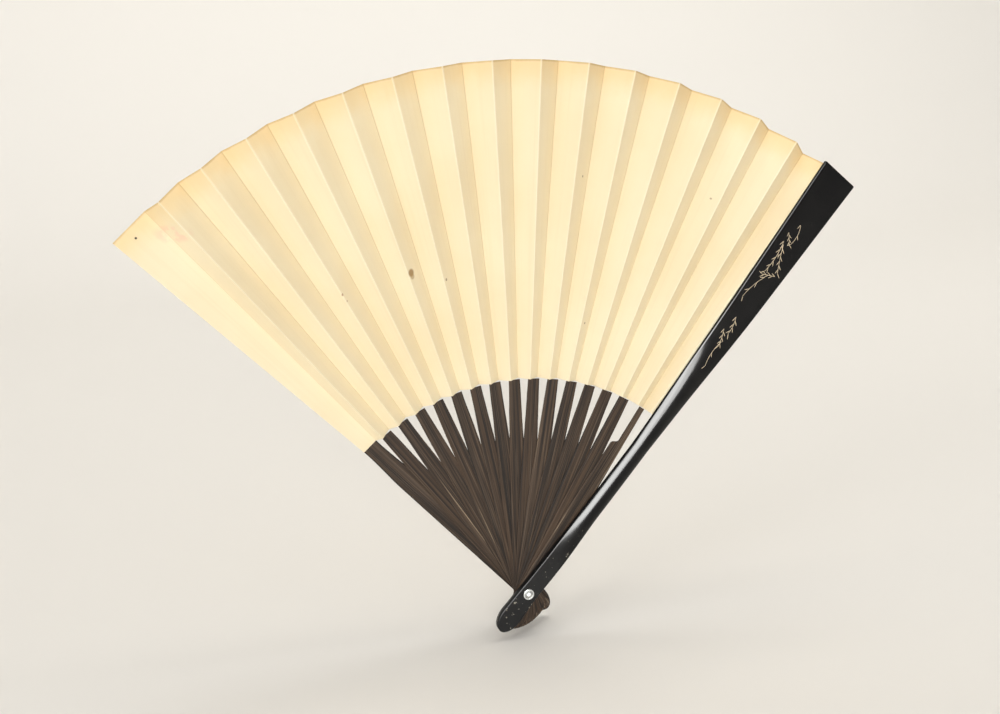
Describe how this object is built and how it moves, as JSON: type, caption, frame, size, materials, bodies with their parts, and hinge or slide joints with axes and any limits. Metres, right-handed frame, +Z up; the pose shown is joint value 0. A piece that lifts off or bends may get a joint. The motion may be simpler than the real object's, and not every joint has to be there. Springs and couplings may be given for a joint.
{
  "type": "folding hand fan",
  "caption": "Folding hand fan with a pleated cream paper leaf, dark bamboo ribs and black lacquered guards turning on one rivet.",
  "frame": {"origin": "on the rivet's axis, halfway through the stack of sticks, where the pivot end is held", "axes": "+X to the right across the open fan seen from its front, -Y towards the front, +Z up along the open fan's middle"},
  "size_m": [0.4052, 0.027, 0.3194],
  "materials": {
    "lacquer": "high gloss black lacquer",
    "bamboo": "dark stained, satin",
    "paper": "matte",
    "nickel": "polished"
  },
  "bodies": {
    "root": {"rear_guard": "lacquer", "rivet": "nickel", "rear_washer": "nickel", "front_washer": "nickel", "leaf_end_rear": "paper", "leaf_free_panel_00": "paper"},
    "rib_01_body": {"rib_01": "bamboo", "leaf_rib_panel_01": "paper", "leaf_free_panel_01": "paper"},
    "rib_02_body": {"rib_02": "bamboo", "leaf_rib_panel_02": "paper", "leaf_free_panel_02": "paper"},
    "rib_03_body": {"rib_03": "bamboo", "leaf_rib_panel_03": "paper", "leaf_free_panel_03": "paper"},
    "rib_04_body": {"rib_04": "bamboo", "leaf_rib_panel_04": "paper", "leaf_free_panel_04": "paper"},
    "rib_05_body": {"rib_05": "bamboo", "leaf_rib_panel_05": "paper", "leaf_free_panel_05": "paper"},
    "rib_06_body": {"rib_06": "bamboo", "leaf_rib_panel_06": "paper", "leaf_free_panel_06": "paper"},
    "rib_07_body": {"rib_07": "bamboo", "leaf_rib_panel_07": "paper", "leaf_free_panel_07": "paper"},
    "rib_08_body": {"rib_08": "bamboo", "leaf_rib_panel_08": "paper", "leaf_free_panel_08": "paper"},
    "rib_09_body": {"rib_09": "bamboo", "leaf_rib_panel_09": "paper", "leaf_free_panel_09": "paper"},
    "rib_10_body": {"rib_10": "bamboo", "leaf_rib_panel_10": "paper", "leaf_free_panel_10": "paper"},
    "rib_11_body": {"rib_11": "bamboo", "leaf_rib_panel_11": "paper", "leaf_free_panel_11": "paper"},
    "rib_12_body": {"rib_12": "bamboo", "leaf_rib_panel_12": "paper", "leaf_free_panel_12": "paper"},
    "rib_13_body": {"rib_13": "bamboo", "leaf_rib_panel_13": "paper", "leaf_free_panel_13": "paper"},
    "rib_14_body": {"rib_14": "bamboo", "leaf_rib_panel_14": "paper", "leaf_free_panel_14": "paper"},
    "rib_15_body": {"rib_15": "bamboo", "leaf_rib_panel_15": "paper", "leaf_free_panel_15": "paper"},
    "front_guard_body": {"front_guard": "lacquer", "leaf_end_front": "paper"}
  },
  "joints": [
    {"name": "fan_opening", "type": "hinge", "parent": "root", "child": "rib_01_body", "pos_m": [0, 0, 0], "axis": [0, 1, 0], "range_deg": [-5.11, 2.2], "deforming": ["leaf_free_panel_00"]},
    {"name": "rib_02_turn", "type": "hinge", "parent": "rib_01_body", "child": "rib_02_body", "pos_m": [0, 0, 0], "axis": [0, 1, 0], "range_deg": [-5.11, 2.2], "deforming": ["leaf_free_panel_01"]},
    {"name": "rib_03_turn", "type": "hinge", "parent": "rib_02_body", "child": "rib_03_body", "pos_m": [0, 0, 0], "axis": [0, 1, 0], "range_deg": [-5.11, 2.2], "deforming": ["leaf_free_panel_02"]},
    {"name": "rib_04_turn", "type": "hinge", "parent": "rib_03_body", "child": "rib_04_body", "pos_m": [0, 0, 0], "axis": [0, 1, 0], "range_deg": [-5.11, 2.2], "deforming": ["leaf_free_panel_03"]},
    {"name": "rib_05_turn", "type": "hinge", "parent": "rib_04_body", "child": "rib_05_body", "pos_m": [0, 0, 0], "axis": [0, 1, 0], "range_deg": [-5.11, 2.2], "deforming": ["leaf_free_panel_04"]},
    {"name": "rib_06_turn", "type": "hinge", "parent": "rib_05_body", "child": "rib_06_body", "pos_m": [0, 0, 0], "axis": [0, 1, 0], "range_deg": [-5.11, 2.2], "deforming": ["leaf_free_panel_05"]},
    {"name": "rib_07_turn", "type": "hinge", "parent": "rib_06_body", "child": "rib_07_body", "pos_m": [0, 0, 0], "axis": [0, 1, 0], "range_deg": [-5.11, 2.2], "deforming": ["leaf_free_panel_06"]},
    {"name": "rib_08_turn", "type": "hinge", "parent": "rib_07_body", "child": "rib_08_body", "pos_m": [0, 0, 0], "axis": [0, 1, 0], "range_deg": [-5.11, 2.2], "deforming": ["leaf_free_panel_07"]},
    {"name": "rib_09_turn", "type": "hinge", "parent": "rib_08_body", "child": "rib_09_body", "pos_m": [0, 0, 0], "axis": [0, 1, 0], "range_deg": [-5.11, 2.2], "deforming": ["leaf_free_panel_08"]},
    {"name": "rib_10_turn", "type": "hinge", "parent": "rib_09_body", "child": "rib_10_body", "pos_m": [0, 0, 0], "axis": [0, 1, 0], "range_deg": [-5.11, 2.2], "deforming": ["leaf_free_panel_09"]},
    {"name": "rib_11_turn", "type": "hinge", "parent": "rib_10_body", "child": "rib_11_body", "pos_m": [0, 0, 0], "axis": [0, 1, 0], "range_deg": [-5.11, 2.2], "deforming": ["leaf_free_panel_10"]},
    {"name": "rib_12_turn", "type": "hinge", "parent": "rib_11_body", "child": "rib_12_body", "pos_m": [0, 0, 0], "axis": [0, 1, 0], "range_deg": [-5.11, 2.2], "deforming": ["leaf_free_panel_11"]},
    {"name": "rib_13_turn", "type": "hinge", "parent": "rib_12_body", "child": "rib_13_body", "pos_m": [0, 0, 0], "axis": [0, 1, 0], "range_deg": [-5.11, 2.2], "deforming": ["leaf_free_panel_12"]},
    {"name": "rib_14_turn", "type": "hinge", "parent": "rib_13_body", "child": "rib_14_body", "pos_m": [0, 0, 0], "axis": [0, 1, 0], "range_deg": [-5.11, 2.2], "deforming": ["leaf_free_panel_13"]},
    {"name": "rib_15_turn", "type": "hinge", "parent": "rib_14_body", "child": "rib_15_body", "pos_m": [0, 0, 0], "axis": [0, 1, 0], "range_deg": [-5.11, 2.2], "deforming": ["leaf_free_panel_14"]},
    {"name": "front_guard_turn", "type": "hinge", "parent": "rib_15_body", "child": "front_guard_body", "pos_m": [0, 0, 0], "axis": [0, 1, 0], "range_deg": [-5.11, 2.2], "deforming": ["leaf_free_panel_15"]}
  ],
  "couplings": [
    {"joint": "rib_02_turn", "follows": "fan_opening", "ratio": 1},
    {"joint": "rib_03_turn", "follows": "fan_opening", "ratio": 1},
    {"joint": "rib_04_turn", "follows": "fan_opening", "ratio": 1},
    {"joint": "rib_05_turn", "follows": "fan_opening", "ratio": 1},
    {"joint": "rib_06_turn", "follows": "fan_opening", "ratio": 1},
    {"joint": "rib_07_turn", "follows": "fan_opening", "ratio": 1},
    {"joint": "rib_08_turn", "follows": "fan_opening", "ratio": 1},
    {"joint": "rib_09_turn", "follows": "fan_opening", "ratio": 1},
    {"joint": "rib_10_turn", "follows": "fan_opening", "ratio": 1},
    {"joint": "rib_11_turn", "follows": "fan_opening", "ratio": 1},
    {"joint": "rib_12_turn", "follows": "fan_opening", "ratio": 1},
    {"joint": "rib_13_turn", "follows": "fan_opening", "ratio": 1},
    {"joint": "rib_14_turn", "follows": "fan_opening", "ratio": 1},
    {"joint": "rib_15_turn", "follows": "fan_opening", "ratio": 1},
    {"joint": "front_guard_turn", "follows": "fan_opening", "ratio": 1}
  ]
}
